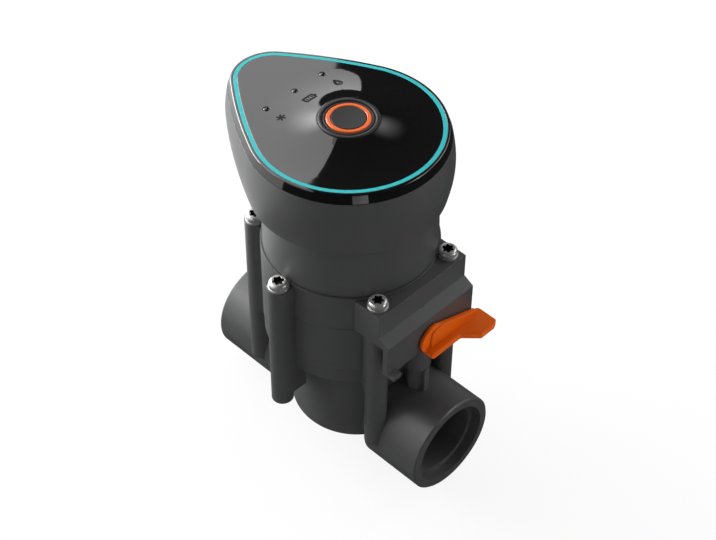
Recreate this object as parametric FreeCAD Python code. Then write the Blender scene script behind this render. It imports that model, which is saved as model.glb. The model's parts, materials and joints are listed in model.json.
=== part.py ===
import FreeCAD, Part
import math
import os

# Irrigation valve with a battery controller on top. Millimetres, +Z up.
# The origin is on the vertical screw-circle axis, in the plane the valve stands on.
# Water flows along +X: inlet socket at -X, outlet socket at +X.

V = FreeCAD.Vector

# Sockets, both with a 1 inch parallel pipe thread inside
socket_radius = 22.0
socket_lift = 0.5
pipe_axis_z = socket_radius + socket_lift
socket_reach = 58.25
inlet_socket_length = 32.0
outlet_socket_length = 28.25
neck_pipe_radius = 18.0
thread_minor_radius = 15.15
thread_length = 17.0
recess_radius = 17.95
recess_depth = 4.15
passage_radius = 12.5
duct_wall = 3.0
socket_edge = 0.6

# Bowl and main cylinder of the lower casting
body_radius = 35.6
bowl_inset = 8.1
bowl_radius = body_radius - bowl_inset
bowl_round = 3.0
bowl_offset = 4.0
bowl_bottom_z = 13.2
bowl_wall = 3.6
foot_radius = 13.0
body_bottom_z = 54.1
body_step_height = 8.0
body_step_z = body_bottom_z + body_step_height
body_step = 0.3
split_z = 85.3
split_edge = 0.25
chamber_wall = 8.1
chamber_radius = body_radius - chamber_wall
chamber_floor = 5.9
chamber_floor_z = body_bottom_z + chamber_floor
seat_drop = 7.3
seat_z = split_z - seat_drop
seat_lip = 1.6

# Bonnet height, and the level on which the screw heads sit
bonnet_height = 16.8
bonnet_top_z = split_z + bonnet_height
column_drop = 1.2
column_top_z = bonnet_top_z - column_drop

# Six clamping screws on a circle, with their columns
screw_count = 6
screw_first_angle = -90.0
screw_circle_step = 3.5
screw_circle_radius = body_radius + screw_circle_step
column_radius = 4.55
side_column_rise = 13.5
side_column_end_z = pipe_axis_z + side_column_rise
pipe_column_sink = 1.0
pipe_column_end_z = pipe_axis_z - pipe_column_sink
column_end_edge = 1.2
column_web_reach = 9.0
side_web_gap = 5.5
side_web_end_z = side_column_end_z + side_web_gap
pipe_web_drop = 2.6
pipe_web_end_z = body_bottom_z - pipe_web_drop
screw_shank_radius = 2.4
screw_head_radius = 4.1
screw_head_height = 2.9
screw_length = 30.0
screw_crown_width = 1.3
screw_clearance = 0.1
washer_radius = 4.4
washer_thickness = 0.7
bonnet_deck = 5.1

# Manual lever on the bleed block's plate, turning about an axis along X
lever_drop = 8.6
lever_axis_z = split_z - lever_drop

# Bleed block beside the bonnet, with the plate behind the lever
block_step = 3.65
block_face_x = body_radius + block_step
block_half_width = 24.2
block_height = 11.0
flare_top_z = column_top_z - block_height
flare_height = 2.6
flare_bottom_z = flare_top_z - flare_height
plate_step = 4.75
plate_face_x = block_face_x + plate_step
plate_thickness = 2.6
plate_hang = 5.1
plate_bottom_z = lever_axis_z - plate_hang
tab_reach = 3.4
tab_width = 4.3
tab_thickness = 2.0

# Pilot duct between bonnet and outlet, with its rib
pilot_step = 2.2
pilot_x = body_radius + pilot_step
pilot_radius = 5.5
pilot_bottom_z = 57.0
pilot_bore_radius = 1.6
pilot_spigot_radius = 4.0
pilot_spigot_length = 3.5
pilot_clearance = 0.3
rib_thickness = 2.7
rib_front_x = pilot_x + pilot_radius

# Lever blade, hub and shaft
lever_gap = 0.3
hub_radius = 6.7
hub_thickness = 1.5
hub_skin = 0.4
blade_top_drop = 3.2
blade_thickness = 2.8
blade_start = 4.5
blade_neck_reach = 5.9
blade_neck_end = 11.5
blade_reach = 11.8
blade_flare_end = 17.2
blade_corner_y = 25.0
blade_corner_reach = 10.5
blade_end = 27.4
web_end = 24.0
web_end_rise = 0.3
lever_shaft_radius = 3.0
lever_stub_radius = 2.0
lever_shaft_length = 9.6
lever_ring_section = 0.4
lever_ring_inset = 2.7
running_clearance = 0.05

# Diaphragm stack
diaphragm_rim_width = 3.5
diaphragm_rim_radius = chamber_radius + diaphragm_rim_width
diaphragm_rim_lap = 1.0
diaphragm_rim_inner = chamber_radius - diaphragm_rim_lap
diaphragm_rim_thickness = 2.0
diaphragm_thickness = 1.5
seat_washer_radius = 16.0
seat_washer_thickness = 3.0
plate_disc_radius = 16.5
plate_disc_thickness = 2.5
guide_stem_radius = 4.0
guide_stem_length = 7.0
guide_wall = 1.8
guide_depth = 6.5
lift_travel = 4.0
centre_screw_radius = 2.0
centre_screw_head_radius = 4.0
centre_screw_head_height = 2.0
centre_screw_bite = 3.0
return_spring_radius = 11.0
return_spring_wire = 1.2

# Latching solenoid on the bonnet deck
core_tube_radius = 5.2
core_tube_wall = 0.8
core_flange_radius = 8.0
core_flange_thickness = 1.5
core_height = 20.4
pole_length = 3.2
plunger_clearance = 0.08
plunger_length = 12.0
plunger_travel = 1.5
plunger_seal_radius = 2.2
plunger_seal_thickness = 1.1
nozzle_height = 0.9
nozzle_radius = 1.5
nozzle_bore = 0.6
plunger_spring_radius = 2.0
plunger_spring_bore_depth = 5.0
bobbin_wall = 1.1
bobbin_flange_radius = 12.0
bobbin_flange = 1.2
bobbin_height = 14.9
winding_radius = 11.4
yoke_plate = 1.5
yoke_half_width = 8.0
yoke_side_x = 12.4

# Controller housing: round neck below, teardrop head above
neck_step = 0.7
neck_foot_radius = body_radius - neck_step
neck_taper = 0.7
neck_top_radius = neck_foot_radius - neck_taper
neck_wall = 3.4
neck_inner_radius = neck_foot_radius - neck_wall
neck_edge = 0.4
spigot_height = 4.0
spigot_gap = 0.3
neck_ring_section = 0.85
neck_height = 25.9
head_bottom_z = bonnet_top_z + neck_height
head_floor = 2.5
head_height = 24.9
panel_underside_z = head_bottom_z + head_height
panel_height = 3.8
panel_top_z = panel_underside_z + panel_height
# Plan of the thin bright line round the head: front arc, tip arc and two long side arcs
line_front_x = -1.45
line_step = 0.5
line_front_radius = body_radius + line_step
line_tip_x = -41.75
line_tip_radius = 14.6
line_side_radius = 180.0
line_width = 1.6
line_depth = 0.6
# How far the head stands outside that line at five heights
head_foot_offset = 2.7
head_low_offset = 3.9
head_belly_offset = 4.5
head_high_offset = 4.3
head_rim_offset = 3.2
head_low_share = 0.24
head_low_z = head_bottom_z + head_low_share * head_height
head_belly_share = 0.46
head_belly_z = head_bottom_z + head_belly_share * head_height
head_high_share = 0.72
head_high_z = head_bottom_z + head_high_share * head_height
head_wall = 2.6
panel_foot_offset = 3.0
panel_top_offset = 1.9
panel_edge_round = 0.5
panel_thickness = 2.4
gasket_inset = 0.9
gasket_width = 1.0
gasket_depth = 0.8
board_ledge = 1.5
board_drop = 5.3
board_z = panel_underside_z - board_drop
board_thickness = 1.6
board_clearance = 0.4
board_notch_depth = 6.0
board_notch_width = 12.0
radio_x = -45.0
radio_side = 14.0
radio_height = 2.2
led_length = 1.6
led_width = 0.8
led_height = 0.7

# Button in a raised mound of the panel
button_x = -1.2
mound_inset = 1.9
mound_foot_radius = line_front_radius - mound_inset
mound_top_radius = 12.1
mound_rise = 3.8
bezel_radius = 11.5
bezel_bore = 8.8
bezel_rise = 0.35
bezel_height = 3.6
bezel_clearance = 0.05
button_radius = 8.55
button_ring_bore = 6.85
button_rise = 0.45
button_ring_height = 1.9
button_flange_radius = 10.1
button_flange = 1.0
button_flange_gap = 0.1
button_dish = 0.25
button_stem_radius = 2.5
button_travel = 0.6
actuator_radius = 1.7
actuator_height = 1.5
switch_side = 6.2
switch_height = 3.2
seal_radius = 14.0
seal_thickness = 0.8
seal_clearance = 0.1

# Indicator windows in a row behind the button
window_x = -30.0
window_pitch = 14.75
window_radius = 1.35
window_clearance = 0.05
window_sink = 0.25
window_flange = 0.6
window_foot = 1.2

# Battery block, its tray and clip
battery_length = 48.5
battery_width = 26.5
battery_height = 17.5
battery_x = -1.5
battery_sink = 1.8
battery_z = head_bottom_z - battery_sink
battery_gap = 0.3
tray_wall = 1.2
tray_depth = 11.0
tray_clearance = 0.3
tray_rim_inset = 2.1
tray_rim_radius = line_front_radius - tray_rim_inset
tray_window_inset = 8.0
tray_window_width = 12.0
clip_thickness = 2.4
terminal_radius = 3.2
terminal_height = 2.2

# Inlet filter
filter_ring_radius = 14.0
filter_ring_thickness = 2.0
filter_clearance = 0.15
filter_cup_radius = 11.0
filter_cup_wall = 1.4
filter_duct_gap = 3.6
filter_slots = 10
filter_slot_width = 3.0
filter_end = 1.6


def cylinder(radius, z0, z1, x=0.0, y=0.0):
    return Part.makeCylinder(radius, z1 - z0, V(x, y, z0))


def cylinder_x(radius, x0, x1, y=0.0, z=0.0):
    return Part.makeCylinder(radius, x1 - x0, V(x0, y, z), V(1, 0, 0))


def tube(outer, inner, z0, z1, x=0.0, y=0.0):
    return cylinder(outer, z0, z1, x, y).cut(cylinder(inner, z0 - 1, z1 + 1, x, y))


def box(x0, x1, y0, y1, z0, z1):
    return Part.makeBox(x1 - x0, y1 - y0, z1 - z0, V(x0, y0, z0))


def union(first, *others):
    return first.multiFuse(list(others)).removeSplitter()


def extrude_xz(points, y0, y1):
    """A closed outline in the XZ plane, pulled from y0 to y1."""
    corners = [V(x, y0, z) for x, z in points]
    face = Part.Face(Part.makePolygon(corners + corners[:1]))
    return face.extrude(V(0, y1 - y0, 0))


def extrude_xy(points, z0, z1):
    corners = [V(x, y, z0) for x, y in points]
    face = Part.Face(Part.makePolygon(corners + corners[:1]))
    return face.extrude(V(0, 0, z1 - z0))


def lathe(points, x=0.0, y=0.0):
    """A closed outline of (radius, z) points turned about a vertical axis."""
    corners = [V(x + r, y, z) for r, z in points]
    face = Part.Face(Part.makePolygon(corners + corners[:1]))
    return face.revolve(V(x, y, 0), V(0, 0, 1), 360)


def lathe_edges(edges, x=0.0, y=0.0):
    face = Part.Face(Part.Wire(edges))
    return face.revolve(V(x, y, 0), V(0, 0, 1), 360)


def line(a, b):
    return Part.LineSegment(a, b).toShape()


def arc(a, middle, b):
    return Part.Arc(a, middle, b).toShape()


def export(name, shape):
    if not shape.isValid():
        print("not valid:", name)
    shape.exportStep("parts/" + name + ".step")
    print(f"{name:22s} solids {len(shape.Solids)}  volume {shape.Volume:9.1f}")


def screw_angles():
    return [screw_first_angle + i * 360.0 / screw_count for i in range(screw_count)]


def on_circle(angle, radius):
    a = math.radians(angle)
    return radius * math.cos(a), radius * math.sin(a)


def is_side_column(angle):
    """The two columns beside the bowl end in the air; the others reach the pipe."""
    return abs(math.cos(math.radians(angle))) < 0.1


def teardrop(offset, z):
    """The head's plan outline at one height, grown by offset, as a wire of four arcs."""
    front = V(line_front_x, 0, z)
    tip = V(line_tip_x, 0, z)
    front_r = line_front_radius + offset
    tip_r = line_tip_radius + offset
    side_r = line_side_radius + offset
    to_front = line_side_radius - line_front_radius
    to_tip = line_side_radius - line_tip_radius
    span = line_front_x - line_tip_x
    along = (to_tip ** 2 - to_front ** 2 + span ** 2) / (2 * span)
    depth = math.sqrt(to_tip ** 2 - along ** 2)
    edges = []
    joints = []
    for side in (1, -1):
        centre = V(line_tip_x + along, -side * depth, z)
        a = centre + (front - centre).normalize() * side_r
        b = centre + (tip - centre).normalize() * side_r
        middle = centre + ((a + b) * 0.5 - centre).normalize() * side_r
        joints.append((a, middle, b))
    (a1, m1, b1), (a2, m2, b2) = joints
    edges.append(arc(a2, front + V(front_r, 0, 0), a1))
    edges.append(arc(a1, m1, b1))
    edges.append(arc(b1, tip - V(tip_r, 0, 0), b2))
    edges.append(arc(b2, m2, a2))
    return Part.Wire(edges)


def teardrop_prism(offset, z0, z1):
    return Part.Face(teardrop(offset, z0)).extrude(V(0, 0, z1 - z0))


def column(angle, top_z):
    """One screw column, with the flat-sided web that ties it to the main cylinder."""
    x, y = on_circle(angle, screw_circle_radius)
    side = is_side_column(angle)
    end_z = side_column_end_z if side else pipe_column_end_z
    web_z = side_web_end_z if side else pipe_web_end_z
    post = cylinder(column_radius, end_z, top_z, x, y)
    post = post.makeChamfer(column_end_edge, [e for e in post.Edges if abs(e.BoundBox.ZMax - end_z) < 0.01])
    inner = screw_circle_radius - column_web_reach
    web = box(inner, screw_circle_radius, -column_radius, column_radius, web_z, top_z)
    web.rotate(V(0, 0, 0), V(0, 0, 1), angle)
    return post.fuse(web)


def thread_end_x():
    return socket_reach - recess_depth - thread_length


def filter_seat_x():
    """Shoulder in the inlet, just behind the thread, that the filter's ring rests on."""
    return filter_ring_thickness - thread_end_x()


def bowl_floor():
    return bowl_bottom_z + bowl_wall


def socket_blank(length):
    blank = cylinder_x(socket_radius, socket_reach - length, socket_reach, z=pipe_axis_z)
    return blank.makeChamfer(socket_edge, [e for e in blank.Edges if e.BoundBox.XMin > socket_reach - 0.01])


def body_outside():
    """Pipes, bowl and main cylinder as one filled form."""
    bowl = cylinder(bowl_radius, bowl_bottom_z, body_bottom_z + 1.0, bowl_offset)
    bowl = bowl.makeFillet(bowl_round, [e for e in bowl.Edges if e.BoundBox.ZMax < bowl_bottom_z + 0.01])
    foot = cylinder(foot_radius, 0, pipe_axis_z - foot_radius + 1, bowl_offset)
    pipe = cylinder_x(neck_pipe_radius, -socket_reach + 1, socket_reach - 1, z=pipe_axis_z)
    outlet = socket_blank(outlet_socket_length)
    inlet = socket_blank(inlet_socket_length).mirror(V(0, 0, 0), V(1, 0, 0))
    low_radius = body_radius - body_step
    drum = lathe([(0, body_bottom_z), (low_radius - 0.8, body_bottom_z), (low_radius, body_bottom_z + 0.8),
                  (low_radius, body_step_z), (body_radius, body_step_z + body_step),
                  (body_radius, split_z - split_edge), (body_radius - split_edge, split_z), (0, split_z)])
    return union(pipe, inlet, outlet, bowl, foot, drum)


def valve_body():
    outer = body_outside()
    rib_foot_z = pipe_axis_z + socket_radius - 3
    rib_head_z = pilot_bottom_z - pilot_clearance
    rib = extrude_xz([(body_radius - 3, rib_foot_z), (rib_front_x, rib_foot_z),
                      (rib_front_x, rib_head_z), (body_radius - 3, rib_head_z)],
                     -rib_thickness / 2, rib_thickness / 2)
    spigot = cylinder(pilot_spigot_radius, pipe_axis_z + socket_radius - 2,
                      pilot_bottom_z + pilot_spigot_length, pilot_x)
    outer = union(outer, rib, spigot)

    duct_radius = passage_radius + duct_wall
    cavity = union(
        cylinder(bowl_radius - bowl_wall, bowl_floor(), chamber_floor_z + 1, bowl_offset),
        cylinder(chamber_radius, chamber_floor_z, split_z + 1),
        cylinder_x(passage_radius, -socket_reach, -duct_radius, z=pipe_axis_z),
    )
    riser = cylinder(duct_radius, bowl_floor() - 2, seat_z)
    seat = cylinder(duct_radius + 2, seat_z - 1, seat_z + 1).cut(
        Part.makeCone(duct_radius + 1, passage_radius + seat_lip - 1, 2.0, V(0, 0, seat_z - 1)))
    riser = riser.cut(seat)
    duct = cylinder_x(duct_radius, 0, bowl_radius + bowl_offset - 1, z=pipe_axis_z)
    pilot_notch = cylinder(pilot_radius + pilot_clearance, pilot_bottom_z - pilot_clearance, split_z + 1, pilot_x)
    spigot_room = cylinder(pilot_spigot_radius, pilot_bottom_z - 1, pilot_bottom_z + pilot_spigot_length, pilot_x)
    outer = outer.cut(pilot_notch).fuse(spigot_room)
    body = outer.cut(cavity).fuse(riser).fuse(duct)

    cuts = [cylinder(passage_radius, pipe_axis_z, seat_z + 1),
            cylinder_x(passage_radius, 0, socket_reach, z=pipe_axis_z),
            Part.makeSphere(passage_radius, V(0, 0, pipe_axis_z)),
            cylinder(pilot_bore_radius, pipe_axis_z, pilot_bottom_z + pilot_spigot_length + 1, pilot_x)]
    for side in (-1, 1):
        end = side * socket_reach
        recess_end = side * (socket_reach - recess_depth)
        thread_end = side * thread_end_x()
        cuts.append(cylinder_x(recess_radius, min(end, recess_end), max(end, recess_end), z=pipe_axis_z))
        cuts.append(cylinder_x(thread_minor_radius, min(end, thread_end), max(end, thread_end), z=pipe_axis_z))
    cuts.append(cylinder_x(filter_ring_radius + filter_clearance, -thread_end_x(), filter_seat_x(), z=pipe_axis_z))
    return body.cut(cuts).removeSplitter()


def screw_holes(start_z, end_z, clearance):
    return [cylinder(screw_shank_radius + clearance, start_z, end_z, *on_circle(a, screw_circle_radius))
            for a in screw_angles()]


def screw_columns():
    """The six columns below the split that the screws bite into."""
    outside = body_outside()
    pilot = cylinder(pilot_radius + pilot_clearance, 0, split_z, pilot_x)
    holes = screw_holes(column_top_z - screw_length - 1, split_z + 1, screw_clearance / 2)
    posts = []
    for angle in screw_angles():
        post = column(angle, split_z).cut([outside, pilot] + holes)
        posts.append(max(post.Solids, key=lambda solid: solid.Volume))
    return Part.Compound(posts)


def bonnet():
    outer = lathe([(0, split_z), (body_radius - split_edge, split_z), (body_radius, split_z + split_edge),
                   (body_radius, bonnet_top_z), (0, bonnet_top_z)])
    for angle in screw_angles():
        if not over_outlet(angle):
            top = column(angle, column_top_z)
            outer = outer.fuse(top.common(cylinder(2 * body_radius, split_z, column_top_z)))
    spigot = cylinder(neck_inner_radius - spigot_gap, bonnet_top_z - 1, bonnet_top_z + spigot_height)
    outer = union(outer, spigot)

    ceiling_z = bonnet_top_z - bonnet_deck
    guide_z = ceiling_z - guide_depth
    hollow = cylinder(chamber_radius, split_z - 1, ceiling_z).cut(
        cylinder(guide_stem_radius + running_clearance * 2 + guide_wall, guide_z, ceiling_z))
    cuts = [hollow,
            cylinder(diaphragm_rim_radius, split_z - 1, split_z + diaphragm_rim_thickness),
            cylinder(guide_stem_radius + running_clearance * 2, guide_z - 1, ceiling_z),
            cylinder(neck_inner_radius - spigot_gap - 3, bonnet_top_z, bonnet_top_z + spigot_height + 1),
            neck_ring_groove(),
            cylinder(nozzle_bore, ceiling_z - 1, bonnet_top_z + 2),
            cylinder_x(pilot_bore_radius, chamber_radius - 2, pilot_x, z=flare_top_z)]
    cuts += screw_holes(split_z - 1, column_top_z + 1, screw_clearance)
    cuts += washer_rooms()
    nozzle = tube(nozzle_radius, nozzle_bore, bonnet_top_z - 1, bonnet_top_z + nozzle_height)
    return outer.cut(cuts).fuse(nozzle).removeSplitter()


def over_outlet(angle):
    """The two screws over the outlet clamp the bleed block instead of the bonnet."""
    return math.cos(math.radians(angle)) > 0.1


def washer_rooms():
    return [cylinder(washer_radius + screw_clearance, column_top_z, bonnet_top_z + 1,
                     *on_circle(a, screw_circle_radius)) for a in screw_angles()]


def bleed_block():
    """Block beside the bonnet with the lever's plate, its stop tab and the pilot duct."""
    back_x = math.sqrt(body_radius ** 2 - block_half_width ** 2) - 3
    side_view = [(back_x, split_z), (plate_face_x - plate_thickness, split_z),
                 (plate_face_x - plate_thickness, plate_bottom_z), (plate_face_x, plate_bottom_z),
                 (plate_face_x, flare_bottom_z), (block_face_x, flare_top_z),
                 (block_face_x, column_top_z), (back_x, column_top_z)]
    block = extrude_xz(side_view, -block_half_width, block_half_width)
    tab = box(plate_face_x - 1, plate_face_x + tab_reach, -block_half_width,
              -block_half_width + tab_width, plate_bottom_z, plate_bottom_z + tab_thickness)
    pilot = cylinder(pilot_radius, pilot_bottom_z, split_z + 2, pilot_x)
    outer = union(block, tab, pilot)
    cuts = [cylinder(body_radius, split_z - block_height, bonnet_top_z),
            cylinder_x(lever_shaft_radius + running_clearance, lever_shaft_start(), plate_face_x + 1, z=lever_axis_z),
            cylinder(pilot_bore_radius, pilot_bottom_z, flare_top_z, pilot_x),
            cylinder(pilot_spigot_radius + screw_clearance, pilot_bottom_z - 1,
                     pilot_bottom_z + pilot_spigot_length + 1.5, pilot_x),
            cylinder_x(pilot_bore_radius, chamber_radius - 2, pilot_x, z=flare_top_z)]
    cuts += screw_holes(split_z - 1, column_top_z + 1, screw_clearance)
    return outer.cut(cuts).removeSplitter()


def neck_ring_groove():
    outer = neck_inner_radius - spigot_gap
    middle = bonnet_top_z + spigot_height / 2
    half = neck_ring_section + 0.1
    return tube(outer + 1, outer - 2 * neck_ring_section + spigot_gap, middle - half, middle + half)


def seal_ring(middle_radius, section, z):
    """Ring seal with an eight-sided section, about the vertical axis."""
    reach = section * math.tan(math.pi / 8)
    corners = [(section, -reach), (section, reach), (reach, section), (-reach, section),
               (-section, reach), (-section, -reach), (-reach, -section), (reach, -section)]
    return lathe([(middle_radius + a, z + b) for a, b in corners])


def neck_ring():
    return seal_ring(neck_inner_radius - neck_ring_section, neck_ring_section, bonnet_top_z + spigot_height / 2)


def screw_washers():
    return Part.Compound([tube(washer_radius, screw_shank_radius + screw_clearance, column_top_z,
                               column_top_z + washer_thickness, *on_circle(a, screw_circle_radius))
                          for a in screw_angles()])


def cover_screw(x, y):
    """Pan head and its shank."""
    z = column_top_z + washer_thickness
    top = z + screw_head_height
    shoulder = z + screw_head_height * 0.5
    rim = screw_head_radius - screw_crown_width
    return lathe([(0, z - screw_length), (screw_shank_radius, z - screw_length), (screw_shank_radius, z),
                  (screw_head_radius, z), (screw_head_radius, shoulder), (rim, top), (0, top)], x, y)


def cover_screws():
    return Part.Compound([cover_screw(*on_circle(a, screw_circle_radius)) for a in screw_angles()])


def lever_ring_x():
    return plate_face_x - lever_ring_inset


def lever_shaft_start():
    return plate_face_x - lever_shaft_length


def manual_lever():
    """A thin hub disc and web against the plate, and a flat blade that flares outward at its end."""
    x0 = plate_face_x + lever_gap
    x1 = x0 + hub_thickness
    z = lever_axis_z
    disc = cylinder_x(hub_radius, x0, x1, z=z)
    blade_top = z - blade_top_drop
    blade_bottom = blade_top - blade_thickness
    web = Part.Face(Part.makePolygon([
        V(x0, 0, blade_bottom), V(x0, web_end, blade_bottom), V(x0, web_end, blade_top + web_end_rise),
        V(x0, hub_radius * math.sin(math.radians(25)), z + hub_radius * math.cos(math.radians(25))),
        V(x0, 0, z + hub_radius * 0.5), V(x0, 0, blade_bottom)])).extrude(V(hub_thickness, 0, 0))
    blade = extrude_xy([(x0, -blade_start), (x0 + blade_neck_reach - lever_gap, -blade_start),
                        (x0 + blade_neck_reach - lever_gap, blade_neck_end),
                        (x0 + blade_reach - lever_gap, blade_flare_end),
                        (x0 + blade_reach - lever_gap, blade_corner_y),
                        (x0 + blade_corner_reach - lever_gap, blade_end), (x0, blade_end)],
                       blade_bottom, blade_top)
    lever = union(disc, web, blade)
    bore = cylinder_x(lever_stub_radius, x0 - 1, x1 - hub_skin, z=z)
    return lever.cut(bore)


def lever_shaft():
    """Turning plug of the manual bleed: half of its inner end is milled away."""
    z = lever_axis_z
    start = lever_shaft_start() + 0.2
    shaft = cylinder_x(lever_shaft_radius, start, plate_face_x - 0.1, z=z)
    stub = cylinder_x(lever_stub_radius, plate_face_x - 1, plate_face_x + lever_gap + hub_thickness - hub_skin, z=z)
    mill = box(start - 1, pilot_x + pilot_bore_radius, -lever_shaft_radius, lever_shaft_radius,
               z, z + lever_shaft_radius + 1)
    half_groove = lever_ring_section + running_clearance
    groove = cylinder_x(lever_shaft_radius + 1, lever_ring_x() - half_groove, lever_ring_x() + half_groove, z=z).cut(
        cylinder_x(lever_shaft_radius - 2 * lever_ring_section, start, plate_face_x, z=z))
    return shaft.fuse(stub).cut(mill).cut(groove).removeSplitter()


def lever_ring():
    ring = seal_ring(lever_shaft_radius - lever_ring_section, lever_ring_section, 0)
    ring.rotate(V(0, 0, 0), V(0, 1, 0), 90)
    ring.translate(V(lever_ring_x(), 0, lever_axis_z))
    return ring


def diaphragm():
    centre_z = seat_z + seat_washer_thickness
    t = diaphragm_thickness
    rim_top = split_z + diaphragm_rim_thickness
    inner = centre_screw_radius + screw_clearance
    fold_radius = chamber_radius - 2.2
    return lathe([(inner, centre_z), (plate_disc_radius + 1.5, centre_z), (fold_radius, split_z - t),
                  (diaphragm_rim_inner - 0.6, split_z), (diaphragm_rim_radius, split_z),
                  (diaphragm_rim_radius, rim_top), (diaphragm_rim_inner, rim_top),
                  (fold_radius - 1.2, split_z - t + 1.2), (plate_disc_radius + 0.9, centre_z + t),
                  (inner, centre_z + t)])


def seat_washer():
    return tube(seat_washer_radius, centre_screw_radius + screw_clearance, seat_z, seat_z + seat_washer_thickness)


def diaphragm_plate():
    z0 = seat_z + seat_washer_thickness + diaphragm_thickness
    z1 = z0 + plate_disc_thickness
    disc = lathe([(0, z0), (plate_disc_radius, z0), (plate_disc_radius, z1),
                  (return_spring_radius + 0.8, z1), (return_spring_radius + 0.2, z1 - 0.8), (0, z1 - 0.8)])
    stem = cylinder(guide_stem_radius, z1 - 1, z1 + guide_stem_length)
    hole = cylinder(centre_screw_radius, z0 - 1, z1 + centre_screw_bite + 1)
    return disc.fuse(stem).cut(hole).removeSplitter()


def centre_screw():
    head_top = seat_z
    z1 = seat_z + seat_washer_thickness + diaphragm_thickness + plate_disc_thickness + centre_screw_bite
    head = cylinder(centre_screw_head_radius, head_top - centre_screw_head_height, head_top)
    slot = box(-centre_screw_head_radius, centre_screw_head_radius, -0.5, 0.5,
               head_top - centre_screw_head_height - 1, head_top - centre_screw_head_height + 0.8)
    return head.fuse(cylinder(centre_screw_radius, head_top - 0.5, z1)).cut(slot).removeSplitter()


def return_spring():
    z0 = seat_z + seat_washer_thickness + diaphragm_thickness + plate_disc_thickness - 0.8
    z1 = bonnet_top_z - bonnet_deck
    return tube(return_spring_radius, return_spring_radius - return_spring_wire, z0, z1)


def core_tube():
    z0 = bonnet_top_z
    top = z0 + core_height
    inner = core_tube_radius - core_tube_wall
    shell = cylinder(core_tube_radius, z0, top).fuse(
        cylinder(core_flange_radius, z0, z0 + core_flange_thickness))
    return shell.cut(cylinder(inner, z0 - 1, top - pole_length)).removeSplitter()


def plunger_bottom_z():
    return bonnet_top_z + nozzle_height + plunger_seal_thickness


def plunger():
    radius = core_tube_radius - core_tube_wall - plunger_clearance
    z0 = plunger_bottom_z()
    z1 = z0 + plunger_length
    rod = cylinder(radius, z0, z1)
    bore = cylinder(plunger_spring_radius + 0.3, z1 - plunger_spring_bore_depth, z1 + 1)
    groove = box(-radius, -radius + 0.7, -0.5, 0.5, z0 - 1, z1 + 1)
    return rod.cut(bore).cut(groove)


def plunger_seal():
    z1 = plunger_bottom_z()
    return cylinder(plunger_seal_radius, z1 - plunger_seal_thickness, z1)


def plunger_spring():
    z0 = plunger_bottom_z() + plunger_length - plunger_spring_bore_depth
    z1 = bonnet_top_z + core_height - pole_length
    return tube(plunger_spring_radius, plunger_spring_radius - 0.5, z0, z1)


def bobbin_z():
    return bonnet_top_z + core_flange_thickness + yoke_plate


def solenoid_bobbin():
    z0 = bobbin_z()
    z1 = z0 + bobbin_height
    inner = core_tube_radius + 0.1
    barrel = tube(inner + bobbin_wall, inner, z0, z1)
    low = tube(bobbin_flange_radius, inner, z0, z0 + bobbin_flange)
    high = tube(bobbin_flange_radius, inner, z1 - bobbin_flange, z1)
    return union(barrel, low, high)


def solenoid_winding():
    z0 = bobbin_z()
    return tube(winding_radius, core_tube_radius + 0.1 + bobbin_wall, z0 + bobbin_flange,
                z0 + bobbin_height - bobbin_flange)


def solenoid_yoke():
    z0 = bobbin_z()
    z1 = z0 + bobbin_height
    outer_x = yoke_side_x + yoke_plate
    frame = box(-outer_x, outer_x, -yoke_half_width, yoke_half_width, z0 - yoke_plate, z1 + yoke_plate)
    window = box(-yoke_side_x, yoke_side_x, -yoke_half_width - 1, yoke_half_width + 1, z0, z1)
    hole = cylinder(core_tube_radius + 0.1, z0 - yoke_plate - 1, z1 + yoke_plate + 1)
    return frame.cut(window).cut(hole)


def controller_housing():
    sections = [(head_foot_offset, head_bottom_z), (head_low_offset, head_low_z), (head_belly_offset, head_belly_z),
                (head_high_offset, head_high_z), (head_rim_offset, panel_underside_z)]
    head = Part.makeLoft([teardrop(o, z) for o, z in sections], True, False)
    room = Part.makeLoft([teardrop(o - head_wall, z) for o, z in sections], True, False)
    room = room.common(teardrop_prism(head_belly_offset, head_bottom_z + head_floor, panel_underside_z + 1))
    ledge = teardrop_prism(head_rim_offset + 1, board_z - 2.0, board_z).cut(
        teardrop_prism(head_rim_offset - head_wall - board_ledge, board_z - 3.0, board_z + 1.0))
    ledge = ledge.common(room)
    neck = lathe([(neck_inner_radius, bonnet_top_z), (neck_foot_radius - neck_edge, bonnet_top_z),
                  (neck_foot_radius, bonnet_top_z + neck_edge), (neck_top_radius, head_bottom_z + 1),
                  (neck_inner_radius, head_bottom_z + 1)])
    shell = head.cut(room).fuse(ledge).fuse(neck)
    cuts = [cylinder(neck_inner_radius, bonnet_top_z - 1, head_bottom_z + head_floor + 1),
            tray_room(tray_wall + tray_clearance),
            gasket_band(panel_underside_z - gasket_depth, panel_underside_z + 1)]
    return shell.cut(cuts).removeSplitter()


def mound_top_z():
    return panel_top_z + mound_rise


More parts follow.
